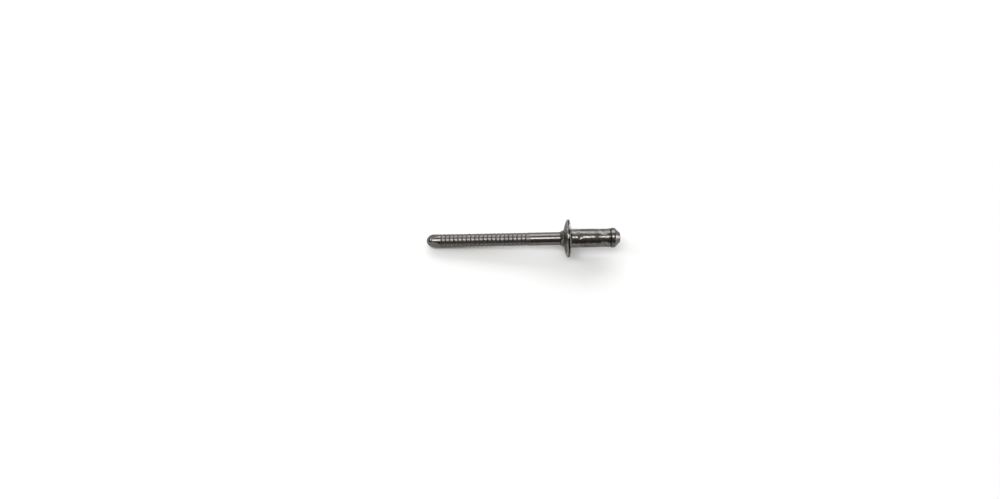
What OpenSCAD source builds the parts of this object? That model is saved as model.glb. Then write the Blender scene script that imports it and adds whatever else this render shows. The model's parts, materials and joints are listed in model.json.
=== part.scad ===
// Blind rivet with a domed flange, lying as it comes to rest on its flange rim and its stem tip.
// Both pieces are drawn on one axis: height 0 is the flange's underside, which seats on the work,
// plus is towards the blind end and minus is towards the stem's tip. place() then lays them down.

/* [Sleeve] */
// Outside diameter of the sleeve
sleeve_d = 4.4; // [4:0.1:5.6]
// Length of the sleeve from the flange's underside to its blind end
sleeve_len = 9.4; // [9:0.1:20]
// Chamfer round the sleeve's blind end
sleeve_chamfer = 0.15; // [0.05:0.01:0.25]

/* [Flange] */
// Diameter of the flange
flange_d = 9; // [8:0.1:12]
// Height of the upright land round the flange's rim
rim_t = 0.75; // [0.5:0.05:1.2]
// Rounding of the rim's two edges
rim_round = 0.2; // [0.05:0.01:0.24]
// Rise of the dome from the rim to where it would meet the axis
dome_rise = 0.95; // [0.6:0.05:2]
// Fillet between the sleeve and the flange's underside
under_fillet = 0.4; // [0.1:0.05:0.6]
// Wall of the small hub round the stem, where it leaves the dome
hub_base_wall = 0.36; // [0.3:0.02:0.8]
// Wall of the hub at its mouth
hub_mouth_wall = 0.14; // [0.1:0.02:0.28]
// Height of the whole head, from the underside to the hub's mouth
head_h = 2.25; // [2:0.05:3.2]

/* [Swaged rings] */
// Number of dents in each ring
dent_count = 4; // [3:1:5]
// Radius of the round bar that is pressed in across the sleeve to make a dent
punch_r = 1.6; // [1.2:0.05:1.8]
// Centre of the tail ring, measured back from the sleeve's blind end
tail_ring_back = 1.56; // [1.5:0.01:2.4]
// Depth of a tail dent below the waist
tail_dent_depth = 0.25; // [0.1:0.01:0.3]
// Turn of the tail dents round the axis
tail_dent_turn = 65; // [0:1:90]
// How far the tail ring draws the sleeve in before its dents
waist_depth = 0.06; // [0.02:0.01:0.12]
// Length of the slope from the full sleeve down to the tail ring's waist
waist_run = 0.85; // [0.4:0.05:1.5]
// How far each end of a tail dent runs up the slopes past the waist
dent_overrun = 0.12; // [0.04:0.01:0.2]
// Centre of the head ring, measured from the flange's underside
head_ring_at = 2.26; // [2:0.02:2.8]
// Depth of a head dent
head_dent_depth = 0.16; // [0.1:0.01:0.2]
// Turn of the head dents round the axis
head_dent_turn = 0; // [0:1:90]
// Height of the ridge that each ring raises inside the bore
ridge_h = 0.18; // [0.1:0.01:0.25]

/* [Mandrel] */
// Diameter of the mandrel's stem
stem_d = 3.1; // [2.6:0.05:3.4]
// Length of the stem from the flange's underside to its tip
stem_len = 33.85; // [31:0.05:50]
// Diameter of the mandrel's head
head_d = 4.7; // [4.3:0.1:5.6]
// Length of the mandrel's head past the sleeve
head_len = 2.2; // [2:0.01:3.5]
// Chamfer under the mandrel's head, facing the sleeve
head_under_chamfer = 0.15; // [0.05:0.01:0.25]
// Straight land round the mandrel's head
head_land = 0.74; // [0.5:0.02:1]
// Radius of the shoulder between that land and the point
head_shoulder = 0.5; // [0.3:0.05:0.8]
// Rounding at the head's flat end
head_end_round = 0.12; // [0.05:0.01:0.3]
// Gap left all round the mandrel in the bore and at the ridges
fit_gap = 0.05; // [0.03:0.01:0.1]
// Centre of the break notch, past the flange's underside
notch_at = 0.95; // [0.5:0.05:1.2]
// Depth of the break notch
notch_depth = 0.5; // [0.2:0.05:0.8]
// Width of the break notch
notch_w = 0.4; // [0.2:0.05:0.6]
// Taken off the stem's diameter between the hub and the break notch
lead_drop = 0.1; // [0.05:0.01:0.2]

/* [Pull grooves] */
// Number of annular pull grooves
groove_count = 21; // [8:1:24]
// Spacing of the grooves
groove_pitch = 0.992; // [0.8:0.001:1.1]
// Centre of the first groove, from the tip's end
groove_first = 3.56; // [3.2:0.01:4]
// Depth of a groove
groove_depth = 0.15; // [0.08:0.01:0.25]
// Width of a groove at its mouth
groove_w = 0.3; // [0.2:0.01:0.45]
// How far each ridge leans in from its crest towards the tip
ridge_lean = 0.05; // [0.02:0.01:0.08]

/* [Pinched tip] */
// Length of the rounded nose
nose_len = 1.7; // [1:0.1:2]
// Diameter of the flat that is left at the nose's end
nose_end_d = 0.9; // [0.5:0.1:1.4]
// Number of flats pressed when the tip was pinched off
pinch_count = 4; // [2:2:4]
// Length of a flat
pinch_len = 2.95; // [2:0.05:3]
// Depth of a flat at the end of the tip
pinch_depth = 0.45; // [0.1:0.01:0.5]
// Turn of the flats round the axis, which keeps them clear of the line that rests on the floor
pinch_turn = 57; // [33:1:57]

/* [Hidden] */
$fn = 96;

sleeve_r = sleeve_d / 2;
flange_r = flange_d / 2;
stem_r = stem_d / 2;
bore_r = stem_r + fit_gap;
head_r = head_d / 2;
blind_end = sleeve_len + head_len;
// A cutter reaches this far past what it cuts
past = 1;

// Radius of the arc that rises by rise over a half chord
function arc_radius(half_chord, rise) = (half_chord * half_chord + rise * rise) / (2 * rise);
// Points along a small rounding, from one angle to another
function arc(centre, radius, from, to, steps = 6) = [
    for (i = [0:steps]) let (a = from + (to - from) * i / steps) centre + radius * [cos(a), sin(a)]
];

// The dome is part of a ball, and the rounding at its rim touches both the ball and the upright land
dome_r = arc_radius(flange_r, dome_rise);
dome_centre = dome_r - rim_t - dome_rise;
round_r = flange_r - rim_round;
inner_ball_r = dome_r - rim_round;
rim_centre = [round_r, dome_centre - sqrt(inner_ball_r * inner_ball_r - round_r * round_r)];
dome_edge_angle = atan2(rim_centre[1] - dome_centre, round_r);
hub_foot_angle = -acos((bore_r + hub_base_wall) / dome_r);

tail_ring_at = sleeve_len - tail_ring_back;
// Half the length of a dent along the axis
function dent_half(depth) = sqrt(2 * punch_r * depth - depth * depth);
tail_half = dent_half(tail_dent_depth);
head_half = dent_half(head_dent_depth);

// The sleeve's waist under the tail ring, with a short slope back up on its blind side
waist_r = sleeve_r - waist_depth;
waist_half = tail_half - dent_overrun;
waist_end = waist_run / 3;

// Inside the bore each ring raises a ridge, and the mandrel has a recess round the same centre
tail_ridge_r = arc_radius(tail_half, ridge_h);
head_ridge_r = arc_radius(head_half, ridge_h);

// The mandrel's head: a land, a round shoulder and a 45 degree point with a flat end
shoulder_at = sleeve_len + head_land;
shoulder_r = head_r - head_shoulder;
shoulder_side = head_shoulder * sin(45);
point_foot = [shoulder_r + shoulder_side, shoulder_at + shoulder_side];
head_end_r = point_foot[0] - (blind_end - point_foot[1]);
end_round_cut = head_end_round * tan(22.5);

// The nose of the tip is one arc from the small flat at its end to the stem's side
nose_r = arc_radius(nose_len, stem_r - nose_end_d / 2);
nose_centre = [stem_r - nose_r, -stem_len + nose_len];
nose_angle = asin(nose_len / nose_r);
pinch_angle = atan(pinch_depth / pinch_len);
groove_start = -stem_len + groove_first;
groove_end = groove_start + (groove_count - 1) * groove_pitch;

// At rest the flange's rim and the nose touch the same plane, so the axis rises towards the blind end
reach = rim_centre - nose_centre;
rest_tilt = atan2(reach[0], reach[1]) - asin((nose_r - rim_round) / norm(reach));
lift = nose_centre[0] * cos(rest_tilt) - nose_centre[1] * sin(rest_tilt) + nose_r;
middle = ((blind_end - stem_len) * cos(rest_tilt) + (head_end_r - nose_end_d / 2) * sin(rest_tilt)) / 2;

// Lays a piece that is drawn along +Z down at rest, blind end towards +X, centred over the origin
module place() {
    translate([-middle, 0, lift]) rotate([0, 90 - rest_tilt, 0]) children();
}

// Puts a child copy at each of count equal turns
module ring(count, turn) {
    for (i = [0:count - 1]) rotate(turn + i * 360 / count) children();
}

// Keeps a section on the axis's own side
module right_half(low, high, radius) {
    translate([0, low]) square([radius, high - low]);
}

// Section of the flange: hub, dome, and upright land with two rounded edges
module flange_section() {
    polygon([
        [0, -head_h], [bore_r + hub_mouth_wall, -head_h],
        each arc([0, dome_centre], dome_r, hub_foot_angle, dome_edge_angle, 16),
        each arc(rim_centre, rim_round, dome_edge_angle, 0),
        each arc([round_r, -rim_round], rim_round, 0, 90),
        [0, 0]
    ]);
}

// Section of the sleeve's outside: fillet, plain barrel, waist under the tail ring and chamfered end
module sleeve_section() {
    difference() {
        right_half(0, under_fillet, sleeve_r + under_fillet);
        translate([sleeve_r + under_fillet, under_fillet]) circle(under_fillet);
    }
    polygon([
        [0, 0], [sleeve_r, 0],
        [sleeve_r, tail_ring_at - waist_half - waist_run],
        [waist_r, tail_ring_at - waist_half],
        [waist_r, tail_ring_at + waist_half],
        [sleeve_r, tail_ring_at + waist_half + waist_end],
        [sleeve_r, sleeve_len - sleeve_chamfer],
        [sleeve_r - sleeve_chamfer, sleeve_len],
        [0, sleeve_len]
    ]);
}

// Section of a ring's ridge inside the bore. A gap makes it the larger recess that takes the ridge.
module ridge_section(at, ridge_r, gap = 0) {
    translate([bore_r - ridge_h + ridge_r, at]) circle(ridge_r + gap);
}

// The hollow that a round bar leaves when it is pressed in across the sleeve
module dent(at, depth, surface_r) {
    translate([surface_r + punch_r - depth, 0, at]) rotate([90, 0, 0])
        cylinder(r = punch_r, h = 2 * sleeve_d, center = true);
}

module rivet_body() {
    color("#a3a29c") place() difference() {
        rotate_extrude() difference() {
            union() {
                flange_section();
                sleeve_section();
            }
            difference() {
                right_half(-head_h - past, sleeve_len + past, bore_r);
                ridge_section(head_ring_at, head_ridge_r);
                ridge_section(tail_ring_at, tail_ridge_r);
            }
        }
        ring(dent_count, tail_dent_turn) dent(tail_ring_at, tail_dent_depth, waist_r);
        ring(dent_count, head_dent_turn) dent(head_ring_at, head_dent_depth, sleeve_r);
    }
}

// Section of the grooved stem. Each ridge rises towards the flange, where the jaws pull on its steep side.
module grooved_section() {
    half_w = groove_w / 2;
    polygon([
        [0, groove_start - half_w], [stem_r, groove_start - half_w],
        for (i = [0:groove_count - 1]) let (at = groove_start + i * groove_pitch) each [
            [stem_r, at - half_w],
            [stem_r - groove_depth, at],
            [i == groove_count - 1 ? stem_r : stem_r - ridge_lean, at + half_w]
        ],
        [0, groove_end + half_w]
    ]);
}

// Section of the stem's tip: an arc for the nose and the plain length before the grooves
module tip_section() {
    polygon([
        [0, -stem_len],
        each arc(nose_centre, nose_r, -nose_angle, 0, 12),
        [stem_r, groove_start - groove_w / 2],
        [0, groove_start - groove_w / 2]
    ]);
}

// Section of the shank from the last groove to the head: plain to the hub, then tapering to the notch
module shank_section() {
    lead_r = stem_r - lead_drop / 2;
    polygon([
        [0, groove_end + groove_w / 2], [stem_r, groove_end + groove_w / 2],
        [stem_r, -head_h],
        [lead_r, notch_at - notch_w / 2],
        [stem_r - notch_depth, notch_at],
        [lead_r, notch_at + notch_w / 2],
        [lead_r, sleeve_len],
        [0, sleeve_len]
    ]);
}

// Section of the mandrel's head, which bears on the sleeve's end
module head_section() {
    polygon([
        [0, sleeve_len], [head_r - head_under_chamfer, sleeve_len],
        [head_r, sleeve_len + head_under_chamfer],
        each arc([shoulder_r, shoulder_at], head_shoulder, 0, 45),
        [head_end_r + end_round_cut * sin(45), blind_end - end_round_cut * sin(45)],
        [head_end_r - end_round_cut, blind_end],
        [0, blind_end]
    ]);
}

module mandrel() {
    color("#8d8c88") place() difference() {
        rotate_extrude() difference() {
            union() {
                tip_section();
                grooved_section();
                shank_section();
                head_section();
            }
            ridge_section(head_ring_at, head_ridge_r, fit_gap);
            ridge_section(tail_ring_at, tail_ridge_r, fit_gap);
        }
        ring(pinch_count, pinch_turn)
            translate([stem_r - pinch_depth, 0, -stem_len]) rotate([0, pinch_angle, 0])
                translate([0, -stem_r, -past]) cube([stem_d, stem_d, past + 2 * pinch_len]);
    }
}

rivet_body();
mandrel();
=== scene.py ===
"""A blind rivet on a pale table: a swaged sleeve with a domed flange, and the mandrel that sets it."""

import json
import math

import bmesh
import bpy
from mathutils import Matrix, Vector


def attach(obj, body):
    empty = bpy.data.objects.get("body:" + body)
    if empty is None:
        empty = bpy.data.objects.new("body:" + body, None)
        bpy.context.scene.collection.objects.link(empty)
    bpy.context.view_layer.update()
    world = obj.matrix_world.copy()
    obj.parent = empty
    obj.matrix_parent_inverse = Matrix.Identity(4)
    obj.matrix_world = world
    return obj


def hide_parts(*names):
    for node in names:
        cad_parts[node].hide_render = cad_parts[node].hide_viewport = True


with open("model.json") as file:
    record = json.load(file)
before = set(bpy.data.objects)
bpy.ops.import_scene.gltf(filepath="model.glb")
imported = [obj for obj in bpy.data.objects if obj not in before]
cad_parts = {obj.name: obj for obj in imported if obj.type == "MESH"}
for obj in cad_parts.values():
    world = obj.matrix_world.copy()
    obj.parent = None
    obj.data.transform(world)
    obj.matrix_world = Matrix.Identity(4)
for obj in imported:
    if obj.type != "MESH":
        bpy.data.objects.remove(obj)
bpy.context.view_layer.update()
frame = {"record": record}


# ---- Camera ----
# A close camera that looks down on the rivet from its near side and a little from the stem's end, so
# the flange shows almost edge-on. The rivet lies small, a little right of the middle of the picture.
aim = Vector((-0.00527, -0.00138, 0.0))
distance = 0.1806
elevation = math.radians(70)
round_to = math.radians(-7.9)
roll = math.radians(8.2)
level = math.cos(elevation)
back = Vector((math.sin(round_to) * level, -math.cos(round_to) * level, math.sin(elevation)))

lens = bpy.data.cameras.new("camera")
lens.lens = 27.18
lens.sensor_width = 36
lens.clip_start = 0.01
lens.clip_end = 10
camera = bpy.data.objects.new("camera", lens)
facing = back.to_track_quat("Z", "Y").to_matrix().to_4x4()
camera.matrix_world = Matrix.Translation(aim + back * distance) @ facing @ Matrix.Rotation(roll, 4, "Z")
bpy.context.scene.collection.objects.link(camera)
bpy.context.scene.camera = camera
bpy.context.scene.view_settings.view_transform = "Standard"


# ---- Light ----
# A long soft box overhead, a wide window behind and a small one at each end, in a room that is dim in
# front and white at the horizon. They make bright bands along the metal and a dark one below them.
def panel(name, to_back, to_right, away, width, depth, strength, tone=(1, 1, 1)):
    """An area lamp that faces the rivet, tipped away from overhead by two angles."""
    lamp = bpy.data.lights.new(name, "AREA")
    lamp.shape = "RECTANGLE"
    lamp.size = width
    lamp.size_y = depth
    lamp.energy = strength * math.pi * width * depth
    lamp.color = tone
    tip_back = Matrix.Rotation(math.radians(-to_back), 4, "X")
    tip_right = Matrix.Rotation(math.radians(to_right), 4, "Y")
    holder = bpy.data.objects.new(name, lamp)
    holder.matrix_world = tip_back @ tip_right @ Matrix.Translation((0, 0, away))
    holder.visible_camera = False
    bpy.context.scene.collection.objects.link(holder)


panel("overhead_box", to_back=-7, to_right=-14, away=0.6, width=0.38, depth=0.2, strength=7.9)
panel("back_window", to_back=55, to_right=0, away=0.8, width=1.3, depth=0.46, strength=2.65)
panel("left_window", to_back=12, to_right=-54, away=0.8, width=0.22, depth=0.4, strength=7)
panel("right_window", to_back=0, to_right=86, away=0.6, width=0.1, depth=0.3, strength=8,
      tone=(0.95, 0.9, 1))


def calculate(tree, operation, *values):
    """One Math node. Each value is a number or another node's output."""
    node = tree.nodes.new("ShaderNodeMath")
    node.operation = operation
    for socket, value in zip(node.inputs, values):
        if isinstance(value, (int, float)):
            socket.default_value = value
        else:
            tree.links.new(value, socket)
    return node.outputs[0]


def fade(tree, value, start, end, low=0.0, high=1.0):
    """A smooth step of a value: low at start, high at end."""
    node = tree.nodes.new("ShaderNodeMapRange")
    node.interpolation_type = "SMOOTHSTEP"
    for socket, number in zip(node.inputs[1:5], (start, end, low, high)):
        socket.default_value = number
    tree.links.new(value, node.inputs["Value"])
    return node.outputs[0]


def mix_colours(tree, share, first, second):
    """From the first colour to the second. Each is a colour or another node's output."""
    node = tree.nodes.new("ShaderNodeMix")
    node.data_type = "RGBA"
    tree.links.new(share, node.inputs[0])
    for socket, colour in ((node.inputs[6], first), (node.inputs[7], second)):
        if isinstance(colour, tuple):
            socket.default_value = (*colour, 1)
        else:
            tree.links.new(colour, socket)
    return node.outputs[2]


world = bpy.data.worlds.new("room")
world.use_nodes = True
room = world.node_tree
direction = room.nodes.new("ShaderNodeTexCoord")
towards = room.nodes.new("ShaderNodeSeparateXYZ")
room.links.new(direction.outputs["Generated"], towards.inputs[0])
to_right, to_back, upwards = towards.outputs
walls = room.nodes.new("ShaderNodeValToRGB")
shades = ((0.0, (0.13, 0.12, 0.1)), (0.08, (0.16, 0.148, 0.125)), (0.17, (0.26, 0.25, 0.225)),
          (0.3, (0.4, 0.39, 0.375)), (0.7, (0.64, 0.64, 0.64)), (1.0, (1.25, 1.265, 1.295)))
stops = walls.color_ramp.elements
for position, shade in shades:
    stop = stops[0] if position == 0 else stops[-1] if position == 1 else stops.new(position)
    stop.color = (*shade, 1)
front_to_back = calculate(room, "MULTIPLY_ADD", to_back, 0.5, 0.5)
room.links.new(front_to_back, walls.inputs[0])
beside = fade(room, calculate(room, "ABSOLUTE", to_right), start=0.65, end=0.92)
dim_sides = mix_colours(room, beside, walls.outputs[0], (0.13, 0.125, 0.12))
above_horizon = fade(room, upwards, start=0.04, end=0.12)
pale_horizon = mix_colours(room, above_horizon, (1, 1, 1), dim_sides)
room.links.new(pale_horizon, room.nodes["Background"].inputs["Color"])
bpy.context.scene.world = world


# ---- Floor ----
# A smooth, dull, pale table top, half a metre square, with the rivet lying at its middle. The lamps
# make it plain white, and it keeps the rivet's soft shadow.
half_side = 0.25
floor_mesh = bpy.data.meshes.new("floor")
table_top = bmesh.new()
bmesh.ops.create_grid(table_top, x_segments=1, y_segments=1, size=half_side)
table_top.to_mesh(floor_mesh)
table_top.free()
floor = bpy.data.objects.new("floor", floor_mesh)
bpy.context.scene.collection.objects.link(floor)
floor_paint = bpy.data.materials.new("floor")
floor_paint.use_nodes = True
top_coat = floor_paint.node_tree.nodes["Principled BSDF"]
top_coat.inputs["Base Color"].default_value = (0.76, 0.76, 0.76, 1)
top_coat.inputs["Roughness"].default_value = 0.9
top_coat.inputs["Specular IOR Level"].default_value = 0
floor_mesh.materials.append(floor_paint)


# ---- Rivet body ----
# One cold-formed steel piece, zinc plated: a domed flange with a small hub round the stem, and a thin
# sleeve. Two rings of round-ended dents, pressed in after the mandrel went in, hold the two together.
mm = 0.001
mounts = {mount["name"]: mount for mount in frame["record"]["mounts"]}
axis = Vector(mounts["shank"]["axis"])
underside = Vector(mounts["underside"]["pos_m"])
on_axis = Vector(mounts["shank"]["pos_m"])
seat = on_axis + axis * (underside - on_axis).dot(axis)
across = Vector((0, 1, 0))
# Lays down a piece that is drawn upright, with height 0 at the flange's underside
lay = Matrix.Translation(seat) @ Matrix((across.cross(axis), across, axis)).transposed().to_4x4()


def arc(centre, radius, start, end, steps):
    """Points along an arc in a section, as (radius, height)."""
    turns = [math.radians(start + (end - start) * i / steps) for i in range(steps + 1)]
    return [(centre[0] + radius * math.cos(t), centre[1] + radius * math.sin(t)) for t in turns]


def line(start, end, step):
    """Points from start up to, but without, end, spaced by about step."""
    count = max(1, round(math.dist(start, end) / step))
    mix = [i / count for i in range(count)]
    return [tuple(a + (b - a) * t for a, b in zip(start, end)) for t in mix]


def chain(corners, step):
    """A section through corners, with points between them spaced by about step."""
    points = []
    for start, end in zip(corners, corners[1:]):
        points += line(start, end, step)
    return points + [corners[-1]]


def revolve(name, section, segments, closed):
    """Turns a section, in millimetres, round the upright axis. Points on the axis make a pole."""
    made = bpy.data.meshes.new(name)
    shell = bmesh.new()
    rings = []
    for radius, height in section:
        if radius == 0:
            rings.append([shell.verts.new((0, 0, height * mm))] * segments)
            continue
        turns = [math.tau * i / segments for i in range(segments)]
        places = [Vector((radius * math.cos(turn), radius * math.sin(turn), height)) for turn in turns]
        rings.append([shell.verts.new(place * mm) for place in places])
    pairs = list(zip(rings, rings[1:])) + ([(rings[-1], rings[0])] if closed else [])
    for low, high in pairs:
        for i in range(segments):
            j = (i + 1) % segments
            corners = list(dict.fromkeys([low[i], low[j], high[j], high[i]]))
            if len(corners) > 2:
                shell.faces.new(corners)
    bmesh.ops.recalc_face_normals(shell, faces=shell.faces)
    shell.to_mesh(made)
    shell.free()
    made.shade_smooth()
    return made


flange_r, rim_t, rim_round, dome_rise = 4.5, 0.75, 0.2, 0.95
hub_base_wall, hub_mouth_wall, head_h = 0.36, 0.14, 2.25
sleeve_r, sleeve_len, sleeve_chamfer, under_fillet = 2.2, 9.4, 0.15, 0.4
bore_r = 1.6
tail_at, tail_turn, tail_depth, tail_punch_r = 7.84, 65, 0.12, 3.1
head_at, head_turn, head_depth, head_punch_r = 2.26, 0, 0.1, 2.4
dent_count, dent_flatness, dent_lip = 4, 0.62, 0.025
waist_r, waist_half, waist_run, waist_steps, waist_end_run = 2.14, 0.739, 1.8, 30, 0.2833
ridge_h, tail_ridge_half, head_ridge_half = 0.18, 0.859, 0.697
mouth_chamfer, mouth_edge, end_chamfer = 0.06, 0.04, 0.05
coarse, fine, fine_from, fine_to, row_gap, body_sides = 0.3, 0.04, 1.5, 3.0, 0.05, 360

dome_r = (flange_r ** 2 + dome_rise ** 2) / (2 * dome_rise)
dome_centre = dome_r - rim_t - dome_rise
round_r = flange_r - rim_round
rim_low = dome_centre - math.sqrt((dome_r - rim_round) ** 2 - round_r ** 2)
dome_edge = math.degrees(math.atan2(rim_low - dome_centre, round_r))
hub_foot = -math.degrees(math.acos((bore_r + hub_base_wall) / dome_r))


def inner_ridge(at, half):
    """The low ridge that a ring of dents raises inside the bore, drawn from the blind end down."""
    radius = (half ** 2 + ridge_h ** 2) / (2 * ridge_h)
    spread = math.degrees(math.asin(half / radius))
    return arc((bore_r - ridge_h + radius, at), radius, 180 - spread, 180 + spread, steps=8)


mouth_r = bore_r + hub_mouth_wall
body_section = chain([(bore_r, -head_h + mouth_chamfer), (bore_r + mouth_chamfer, -head_h),
                      (mouth_r - mouth_edge, -head_h), (mouth_r, -head_h + mouth_edge)], coarse)
body_section += arc((0, dome_centre), dome_r, hub_foot, dome_edge, steps=24)
body_section += arc((round_r, rim_low), rim_round, dome_edge, 0, steps=6)
body_section += arc((round_r, -rim_round), rim_round, 0, 90, steps=6)
body_section += arc((sleeve_r + under_fillet, under_fillet), under_fillet, 270, 180, steps=8)
body_section += line((sleeve_r, under_fillet + row_gap), (sleeve_r, fine_from), coarse)
body_section += line((sleeve_r, fine_from), (sleeve_r, fine_to), fine)
waist_start, waist_end = tail_at - waist_half, tail_at + waist_half
body_section += line((sleeve_r, fine_to), (sleeve_r, waist_start - waist_run), coarse)
for i in range(waist_steps):
    along = i / waist_steps
    eased = (1 - math.cos(math.pi * along)) / 2
    body_section.append((sleeve_r + (waist_r - sleeve_r) * eased, waist_start - waist_run * (1 - along)))
body_section += chain([(waist_r, waist_start), (waist_r, waist_end),
                       (sleeve_r, waist_end + waist_end_run), (sleeve_r, sleeve_len - sleeve_chamfer),
                       (sleeve_r - sleeve_chamfer, sleeve_len)], fine)
body_section += [(bore_r + end_chamfer, sleeve_len), (bore_r, sleeve_len - end_chamfer)]
body_section += inner_ridge(tail_at, tail_ridge_half)
body_section += inner_ridge(head_at, head_ridge_half)

body_mesh = revolve("rivet_body_steel", body_section, body_sides, closed=True)
body = bpy.data.objects.new("rivet_body_steel", body_mesh)
bpy.context.scene.collection.objects.link(body)


def tree_with(name, sizes):
    """A geometry tree with a mesh going in and out, and one named input for each size."""
    tree = bpy.data.node_groups.new(name, "GeometryNodeTree")
    tree.interface.new_socket(name="Mesh", in_out="INPUT", socket_type="NodeSocketGeometry")
    for size, kind in sizes.items():
        tree.interface.new_socket(name=size, in_out="INPUT", socket_type=kind)
    tree.interface.new_socket(name="Mesh", in_out="OUTPUT", socket_type="NodeSocketGeometry")
    return tree, tree.nodes.new("NodeGroupInput"), tree.nodes.new("NodeGroupOutput")


def from_nearest(tree, count, turn):
    """Position split into radius, height, and the angle from the nearest of count equal turns."""
    position = tree.nodes.new("GeometryNodeInputPosition")
    parts = tree.nodes.new("ShaderNodeSeparateXYZ")
    tree.links.new(position.outputs[0], parts.inputs[0])
    x, y, height = parts.outputs
    squares = calculate(tree, "MULTIPLY_ADD", x, x, calculate(tree, "MULTIPLY", y, y))
    radius = calculate(tree, "SQRT", squares)
    turned_by = calculate(tree, "SUBTRACT", calculate(tree, "ARCTAN2", y, x), turn)
    half_step = calculate(tree, "DIVIDE", math.pi, count)
    angle = calculate(tree, "WRAP", turned_by, half_step, calculate(tree, "MULTIPLY", half_step, -1))
    return radius, height, angle


def move_to_radius(tree, mesh, radius, new_radius):
    """Moves each point straight out from, or in towards, the axis."""
    position = tree.nodes.new("GeometryNodeInputPosition")
    ratio = calculate(tree, "DIVIDE", new_radius, calculate(tree, "MAXIMUM", radius, 1e-9))
    ratios = tree.nodes.new("ShaderNodeCombineXYZ")
    tree.links.new(ratio, ratios.inputs[0])
    tree.links.new(ratio, ratios.inputs[1])
    ratios.inputs[2].default_value = 1
    scaled = tree.nodes.new("ShaderNodeVectorMath")
    scaled.operation = "MULTIPLY"
    tree.links.new(position.outputs[0], scaled.inputs[0])
    tree.links.new(ratios.outputs[0], scaled.inputs[1])
    moved = tree.nodes.new("GeometryNodeSetPosition")
    tree.links.new(mesh, moved.inputs["Geometry"])
    tree.links.new(scaled.outputs[0], moved.inputs["Position"])
    return moved.outputs[0]


def finish_tree(tree, mesh, going_out):
    """Ends a tree in plain geometry with its material."""
    real = tree.nodes.new("GeometryNodeRealizeInstances")
    tree.links.new(mesh, real.inputs[0])
    painted = tree.nodes.new("GeometryNodeSetMaterial")
    tree.links.new(real.outputs[0], painted.inputs["Geometry"])
    tree.links.new(going_out["Material"], painted.inputs["Material"])
    return painted.outputs[0]


def apply_tree(piece, tree, **sizes):
    """Runs a tree on a piece and keeps the result as its plain mesh."""
    modifier = piece.modifiers.new(tree.name, "NODES")
    modifier.node_group = tree
    for item in tree.interface.items_tree:
        key = item.name.lower().replace(" ", "_")
        if item.in_out == "INPUT" and key in sizes:
            modifier[item.identifier] = sizes[key]
    depsgraph = bpy.context.evaluated_depsgraph_get()
    made = bpy.data.meshes.new_from_object(piece.evaluated_get(depsgraph))
    made.name = piece.data.name
    piece.modifiers.clear()
    piece.data = made


float_in, whole_in, material_in = "NodeSocketFloat", "NodeSocketInt", "NodeSocketMaterial"
dents, goes_in, goes_out = tree_with("Swaged dents", {
    "Count": whole_in, "Turn": float_in, "Ring At": float_in, "Depth": float_in, "Surface R": float_in,
    "Punch R": float_in, "Flatness": float_in, "Lip": float_in, "Material": material_in})
given = goes_in.outputs
radius, height, angle = from_nearest(dents, given["Count"], given["Turn"])
# The punch is a round bar that lies across the sleeve. Flatness 1 leaves the hollow straight from side
# to side, and less than that lets it keep some of the sleeve's own roundness
resting_axis = calculate(dents, "ADD", given["Surface R"], given["Punch R"])
punch_axis = calculate(dents, "SUBTRACT", resting_axis, given["Depth"])
from_ring = calculate(dents, "SUBTRACT", height, given["Ring At"])
left = calculate(dents, "SUBTRACT", calculate(dents, "MULTIPLY", given["Punch R"], given["Punch R"]),
                 calculate(dents, "MULTIPLY", from_ring, from_ring))
reach = calculate(dents, "SQRT", calculate(dents, "MAXIMUM", left, 0))
hollow = calculate(dents, "SUBTRACT", punch_axis, reach)
missed = calculate(dents, "LESS_THAN", left, 0)
side_rise = calculate(dents, "COSINE", calculate(dents, "MULTIPLY", angle, given["Flatness"]))
floor_r = calculate(dents, "ADD", calculate(dents, "DIVIDE", hollow, side_rise), missed)
pressed = calculate(dents, "SMOOTH_MIN", radius, floor_r, given["Lip"])
moved_mesh = move_to_radius(dents, given["Mesh"], radius, pressed)
dents.links.new(finish_tree(dents, moved_mesh, given), goes_out.inputs[0])


def noise(tree, where, scale, detail, stretch=(1, 1, 1)):
    """Noise over the piece, from about 0.3 to 0.7."""
    stretched = tree.nodes.new("ShaderNodeMapping")
    stretched.inputs["Scale"].default_value = [scale * s for s in stretch]
    tree.links.new(where, stretched.inputs["Vector"])
    node = tree.nodes.new("ShaderNodeTexNoise")
    node.inputs["Scale"].default_value = 1
    node.inputs["Detail"].default_value = detail
    tree.links.new(stretched.outputs[0], node.inputs["Vector"])
    return node.outputs[0]


def bump(tree, heights, distance, before=None):
    """Tips the shading by a field of heights. Distance is in millimetres."""
    node = tree.nodes.new("ShaderNodeBump")
    node.inputs["Strength"].default_value = 1
    node.inputs["Distance"].default_value = distance * mm
    tree.links.new(heights, node.inputs["Height"])
    if before:
        tree.links.new(before, node.inputs["Normal"])
    return node.outputs[0]


def band(tree, height, stretches, edge, low=0.0, high=1.0):
    """High in each stretch of the axis, given as its middle and half length, and low elsewhere."""
    value = low
    for middle, half in stretches:
        off = calculate(tree, "ABSOLUTE", calculate(tree, "SUBTRACT", height, middle))
        value = calculate(tree, "MAXIMUM", value, fade(tree, off, half, half - edge, low, high))
    return value


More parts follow.
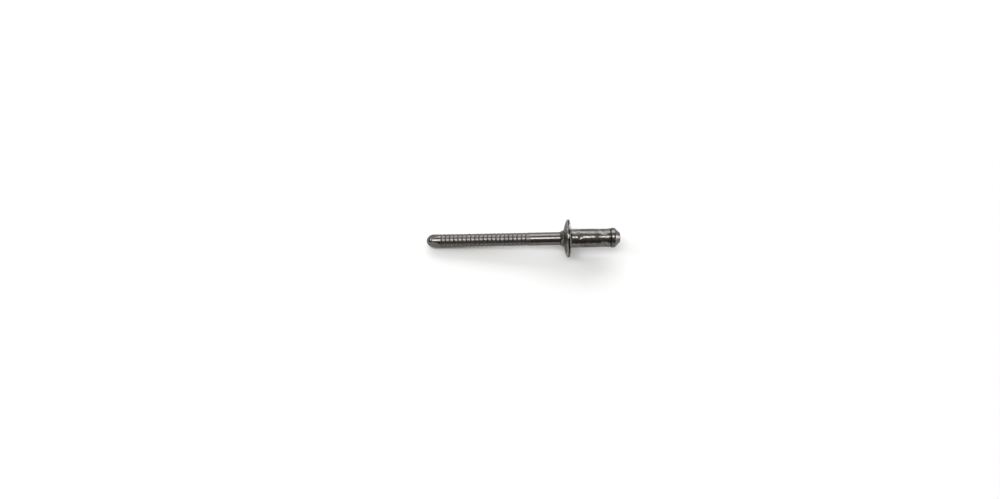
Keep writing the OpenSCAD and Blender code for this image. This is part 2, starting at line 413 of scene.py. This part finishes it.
def plated_steel(name, tone, stain, roughness, dull_roughness, wave, groove_shade_r,
                 dull, painted_shade_bands, worn_and_glinting, scuffed_sheen, uneven):
    """Zinc-plated steel with drawn lines along the axis. The last five are stretches of the axis.

    Painted shade darkens the groove floors in the first stretches, below a given radius, and the bands
    of the second. The third are lighter as wear with a painted highlight, and the fourth as scrapes with
    a painted sheen."""
    metal = bpy.data.materials.new(name)
    metal.use_nodes = True
    tree = metal.node_tree
    shader = tree.nodes["Principled BSDF"]
    shader.inputs["Metallic"].default_value = 1
    shader.inputs["Specular Tint"].default_value = (0.8, 0.8, 0.8, 1)
    place = tree.nodes.new("ShaderNodeTexCoord")
    local = tree.nodes.new("ShaderNodeMapping")
    local.vector_type = "TEXTURE"
    local.inputs["Location"].default_value = seat
    local.inputs["Rotation"].default_value = lay.to_euler()
    local.inputs["Scale"].default_value = (mm, mm, mm)
    tree.links.new(place.outputs["Object"], local.inputs["Vector"])
    upright = local.outputs[0]
    parts = tree.nodes.new("ShaderNodeSeparateXYZ")
    tree.links.new(upright, parts.inputs[0])
    height = parts.outputs["Z"]

    flat = tree.nodes.new("ShaderNodeVectorMath")
    flat.operation = "MULTIPLY"
    flat.inputs[1].default_value = (1, 1, 0)
    tree.links.new(upright, flat.inputs[0])
    across_axis = tree.nodes.new("ShaderNodeVectorMath")
    across_axis.operation = "LENGTH"
    tree.links.new(flat.outputs[0], across_axis.inputs[0])

    dulled = band(tree, height, dull, edge=0.15)
    lines = noise(tree, upright, scale=1, detail=3, stretch=(16, 16, 0.7))
    patches = fade(tree, noise(tree, upright, scale=1.1, detail=5), start=0.38, end=0.66)
    tint = mix_colours(tree, patches, tone, stain)
    # The worn stretches are lighter in broken lines: wear on the plating, and a painted highlight along
    # the flange's rim edges.
    chips = fade(tree, noise(tree, upright, scale=2.3, detail=3), start=0.43, end=0.54)
    wear_and_glint = calculate(tree, "MULTIPLY", band(tree, height, worn_and_glinting, edge=0.07, high=2.6), chips)
    # The scuffed stretches add lighter scrapes on the sleeve near the dent rings: scuffs, and partly a
    # painted sheen.
    sheen_scrapes = fade(tree, noise(tree, upright, scale=2.8, detail=4), start=0.52, end=0.6)
    scraped_sheen = band(tree, height, scuffed_sheen, edge=0.4, high=0.6)
    wear_and_glint = calculate(tree, "MULTIPLY_ADD", scraped_sheen, sheen_scrapes, wear_and_glint)
    shade = tree.nodes.new("ShaderNodeVectorMath")
    shade.operation = "SCALE"
    tree.links.new(tint, shade.inputs[0])
    # Painted shade: the groove floors below the given radius are darker, and so are bands at the joints
    # between parts and on the flange's land.
    groove_shade = fade(tree, across_axis.outputs["Value"], start=groove_shade_r, end=groove_shade_r - 0.06, high=0.36)
    painted_shade = calculate(tree, "MULTIPLY", dulled, groove_shade)
    painted_shade = calculate(tree, "MAXIMUM", painted_shade, band(tree, height, painted_shade_bands, edge=0.08, high=0.8))
    unshaded = calculate(tree, "SUBTRACT", 1, painted_shade)
    tree.links.new(calculate(tree, "ADD", unshaded, wear_and_glint), shade.inputs["Scale"])
    tree.links.new(shade.outputs[0], shader.inputs["Base Color"])
    gloss = fade(tree, dulled, start=0, end=1, low=roughness, high=dull_roughness)
    tree.links.new(calculate(tree, "MULTIPLY_ADD", lines, 0.12, gloss), shader.inputs["Roughness"])
    swell = calculate(tree, "SUBTRACT", noise(tree, upright, scale=0.8, detail=2), 0.5)
    swell = calculate(tree, "MULTIPLY", swell, band(tree, height, uneven, edge=0.4, low=0.25))
    swollen = bump(tree, swell, distance=wave)
    tree.links.new(bump(tree, lines, distance=0.0025, before=swollen), shader.inputs["Normal"])
    return metal


# The body is darker at the sleeve's end and on the flange's land as painted shade, lighter on the rim's
# edges as wear with a painted highlight, and lighter near the dent rings as scrapes with a painted
# sheen.
body_steel = plated_steel("body_steel", tone=(0.131, 0.128, 0.122), stain=(0.081, 0.075, 0.066),
                          roughness=0.1, dull_roughness=0.36, wave=0.13, groove_shade_r=0,
                          dull=((-1.2, 0.5),), painted_shade_bands=((sleeve_len, 0.16), (-0.42, 0.17)),
                          worn_and_glinting=((-0.2, 0.17), (-rim_t, 0.14)), scuffed_sheen=((1.2, 1.2), (tail_at, 1.4)),
                          uneven=((-0.65, 0.55), (head_at - 0.8, 0.9), (tail_at + 0.8, 0.8)))
for at, turn, depth, punch_r, surface_r in ((tail_at, tail_turn, tail_depth, tail_punch_r, waist_r),
                                            (head_at, head_turn, head_depth, head_punch_r, sleeve_r)):
    apply_tree(body, dents, count=dent_count, turn=math.radians(turn), ring_at=at * mm, depth=depth * mm,
               surface_r=surface_r * mm, punch_r=punch_r * mm, flatness=dent_flatness, lip=dent_lip * mm,
               material=body_steel)
body.data.transform(lay)
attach(body, "root")
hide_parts("rivet_body")


# ---- Mandrel ----
# A drawn steel wire, zinc plated, upset to a pointed head at the blind end. Rolled pull grooves take the
# tool's jaws, and four flats at the tip show where it was pinched off the wire.
stem_r, stem_len, first_ring_r = 1.55, 33.85, 0.15
notch_at, notch_depth, notch_w, lead_drop = 0.95, 0.5, 0.4, 0.1
head_r, head_len, head_chamfer, head_land = 2.35, 2.2, 0.15, 0.74
head_shoulder, head_end_round, head_slope = 0.5, 0.12, 45
groove_count, groove_pitch, groove_first = 21, 0.992, 3.56
groove_depth, groove_w, ridge_lean = 0.15, 0.3, 0.05
nose_len, nose_end_r = 1.7, 0.45
pinch_count, pinch_len, pinch_depth, pinch_turn, pinch_lip = 4, 2.95, 0.45, 57, 0.05
recess_gap, weld, mandrel_sides = 0.05, 0.002, 192
groove_start = -stem_len + groove_first
half_w = groove_w / 2
groove_end = groove_start + (groove_count - 1) * groove_pitch
blind_end = sleeve_len + head_len
lead_r = stem_r - lead_drop / 2
shoulder_at = sleeve_len + head_land
shoulder_r = head_r - head_shoulder
shoulder_side = head_shoulder * math.sin(math.radians(head_slope))
head_end_r = shoulder_r + shoulder_side - (blind_end - shoulder_at - shoulder_side)
end_cut = head_end_round * math.tan(math.radians(head_slope / 2))
end_side = end_cut * math.sin(math.radians(head_slope))
nose_r = (nose_len ** 2 + (stem_r - nose_end_r) ** 2) / (2 * (stem_r - nose_end_r))
nose_angle = math.degrees(math.asin(nose_len / nose_r))

tip_section = [(0, -stem_len)] + line((first_ring_r, -stem_len), (nose_end_r, -stem_len), step=0.1)
tip_section += arc((stem_r - nose_r, -stem_len + nose_len), nose_r, -nose_angle, 0, steps=34)
tip_section += line((stem_r, -stem_len + nose_len + row_gap), (stem_r, groove_start - half_w), row_gap)
tip_section += [(stem_r, groove_start - half_w)]


def recess(at, half):
    """The groove in the mandrel, inside the bore, that takes a ridge of the sleeve."""
    radius = (half ** 2 + ridge_h ** 2) / (2 * ridge_h) + recess_gap
    centre_r = bore_r - ridge_h + radius - recess_gap
    spread = math.degrees(math.acos((centre_r - lead_r) / radius))
    return arc((centre_r, at), radius, 180 + spread, 180 - spread, steps=8)


shank_section = chain([(stem_r, groove_end + groove_pitch - half_w), (stem_r, -head_h),
                       (lead_r, notch_at - notch_w / 2), (stem_r - notch_depth, notch_at),
                       (lead_r, notch_at + notch_w / 2)], step=0.5)
shank_section += recess(head_at, head_ridge_half)
shank_section += recess(tail_at, tail_ridge_half)
shank_section += chain([(lead_r, sleeve_len), (head_r - head_chamfer, sleeve_len),
                        (head_r, sleeve_len + head_chamfer)], step=0.2)
shank_section += arc((shoulder_r, shoulder_at), head_shoulder, 0, head_slope, steps=12)
end_corner = [(head_end_r + end_side, blind_end - end_side), (head_end_r - end_cut, blind_end)]
shank_section += line(shank_section[-1], end_corner[0], step=0.08)[1:]
shank_section += chain(end_corner, step=0.05)
shank_section += line(end_corner[1], (0, blind_end), step=0.15)[1:] + [(0, blind_end)]

ridge_section = chain([(stem_r, -half_w), (stem_r - groove_depth, 0), (stem_r - ridge_lean, half_w),
                       (stem_r, groove_pitch - half_w)], step=0.08)

stem_parts = bpy.data.meshes.new("mandrel_steel")
wire = bmesh.new()
for name, section in (("tip", tip_section), ("shank", shank_section)):
    part = revolve(name, section, mandrel_sides, closed=False)
    wire.from_mesh(part)
    bpy.data.meshes.remove(part)
wire.to_mesh(stem_parts)
wire.free()
mandrel = bpy.data.objects.new("mandrel_steel", stem_parts)
bpy.context.scene.collection.objects.link(mandrel)
ridge_mesh = revolve("ridge", ridge_section, mandrel_sides, closed=False)
ridge = bpy.data.objects.new("ridge", ridge_mesh)
bpy.context.scene.collection.objects.link(ridge)

grooves, goes_in, goes_out = tree_with("Pull grooves", {
    "Ridge": "NodeSocketObject", "Count": whole_in, "Pitch": float_in, "First": float_in,
    "Material": material_in})
given = goes_in.outputs
row = grooves.nodes.new("GeometryNodeMeshLine")
start = grooves.nodes.new("ShaderNodeCombineXYZ")
pitch = grooves.nodes.new("ShaderNodeCombineXYZ")
grooves.links.new(given["First"], start.inputs[2])
grooves.links.new(given["Pitch"], pitch.inputs[2])
grooves.links.new(given["Count"], row.inputs["Count"])
grooves.links.new(start.outputs[0], row.inputs["Start Location"])
grooves.links.new(pitch.outputs[0], row.inputs["Offset"])
one_ridge = grooves.nodes.new("GeometryNodeObjectInfo")
grooves.links.new(given["Ridge"], one_ridge.inputs["Object"])
copies = grooves.nodes.new("GeometryNodeInstanceOnPoints")
grooves.links.new(row.outputs[0], copies.inputs["Points"])
grooves.links.new(one_ridge.outputs["Geometry"], copies.inputs["Instance"])
together = grooves.nodes.new("GeometryNodeJoinGeometry")
grooves.links.new(copies.outputs[0], together.inputs[0])
grooves.links.new(given["Mesh"], together.inputs[0])
whole = grooves.nodes.new("GeometryNodeRealizeInstances")
grooves.links.new(together.outputs[0], whole.inputs[0])
welded = grooves.nodes.new("GeometryNodeMergeByDistance")
welded.inputs["Distance"].default_value = weld * mm
grooves.links.new(whole.outputs[0], welded.inputs["Geometry"])
grooves.links.new(finish_tree(grooves, welded.outputs[0], given), goes_out.inputs[0])

flats, goes_in, goes_out = tree_with("Pinched flats", {
    "Count": whole_in, "Turn": float_in, "Tip": float_in, "Tip R": float_in, "Slope": float_in,
    "Lip": float_in, "Material": material_in})
given = goes_in.outputs
radius, height, angle = from_nearest(flats, given["Count"], given["Turn"])
up_from_tip = calculate(flats, "SUBTRACT", height, given["Tip"])
reach = calculate(flats, "MULTIPLY_ADD", up_from_tip, given["Slope"], given["Tip R"])
flat_r = calculate(flats, "DIVIDE", reach, calculate(flats, "COSINE", angle))
pressed = calculate(flats, "SMOOTH_MIN", radius, flat_r, given["Lip"])
moved_mesh = move_to_radius(flats, given["Mesh"], radius, pressed)
flats.links.new(finish_tree(flats, moved_mesh, given), goes_out.inputs[0])

groove_half = (groove_end - groove_start + groove_pitch) / 2
# The mandrel is darker in its groove floors, at the sleeve's end and at the hub's mouth, as painted
# shade.
mandrel_steel = plated_steel("mandrel_steel", tone=(0.131, 0.124, 0.118), stain=(0.106, 0.098, 0.09),
                             roughness=0.1, dull_roughness=0.26, wave=0.03, groove_shade_r=stem_r - 0.03,
                             dull=((groove_start + groove_half, groove_half + 0.3),),
                             painted_shade_bands=((sleeve_len, 0.16), (-head_h, 0.2)), worn_and_glinting=(), scuffed_sheen=(), uneven=())
apply_tree(mandrel, grooves, ridge=ridge, count=groove_count, pitch=groove_pitch * mm,
           first=groove_start * mm, material=mandrel_steel)
bpy.data.objects.remove(ridge)
apply_tree(mandrel, flats, count=pinch_count, turn=math.radians(pinch_turn), tip=-stem_len * mm,
           tip_r=(stem_r - pinch_depth) * mm, slope=pinch_depth / pinch_len, lip=pinch_lip * mm,
           material=mandrel_steel)
mandrel.data.transform(lay)
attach(mandrel, "root")
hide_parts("mandrel")
